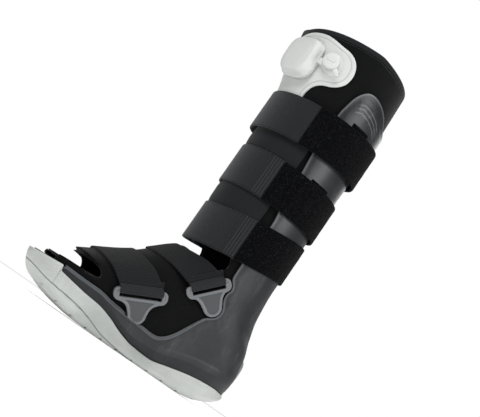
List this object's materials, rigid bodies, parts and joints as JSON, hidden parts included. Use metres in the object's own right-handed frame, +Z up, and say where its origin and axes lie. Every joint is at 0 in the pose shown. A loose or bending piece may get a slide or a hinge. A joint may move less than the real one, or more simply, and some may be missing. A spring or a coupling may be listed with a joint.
{
  "type": "medical walking boot",
  "caption": "Tall orthopaedic walking boot with an open toe, rocker sole, moulded shell, padded liner, calf straps, buckled foot straps and an air pump.",
  "frame": {"origin": "on the floor under the flat middle of the sole, on the boot's lengthwise mid plane", "axes": "+Z up the leg, -X towards the toes, -Y towards the side with the two foot buckles"},
  "size_m": [0.2916, 0.1438, 0.4519],
  "materials": {
    "sole_rubber": "matt moulded rubber",
    "shell_plastic": "satin moulded plastic",
    "liner_fabric": "brushed padded fabric",
    "loop_fabric": "short loop fabric",
    "pile_fabric": "deep pile",
    "webbing": "ribbed webbing",
    "buckle_plastic": "satin moulded plastic",
    "pump_plastic": "satin moulded plastic"
  },
  "bodies": {
    "boot": {"outsole": "sole_rubber", "shell": "shell_plastic", "liner": "liner_fabric", "shin_flap": "liner_fabric", "calf_strap_front_1": "loop_fabric", "calf_strap_back_1": "pile_fabric", "calf_strap_front_2": "loop_fabric", "calf_strap_back_2": "pile_fabric", "calf_strap_front_3": "loop_fabric", "calf_strap_back_3": "pile_fabric", "hook_patch_1": "pile_fabric", "hook_patch_2": "pile_fabric", "forefoot_strap": "webbing", "forefoot_buckle": "buckle_plastic", "instep_strap": "webbing", "instep_buckle": "buckle_plastic", "pump_pad": "pump_plastic", "pump_bulb": "pump_plastic", "valve_seat": "pump_plastic"},
    "dial": {"valve_dial": "pump_plastic"}
  },
  "joints": [
    {"name": "dial_turn", "type": "hinge", "parent": "boot", "child": "dial", "pos_m": [-0.03434, -0.06121, 0.4085], "axis": [-0.6293, -0.7771, 0], "range_deg": [-50, 50]}
  ]
}
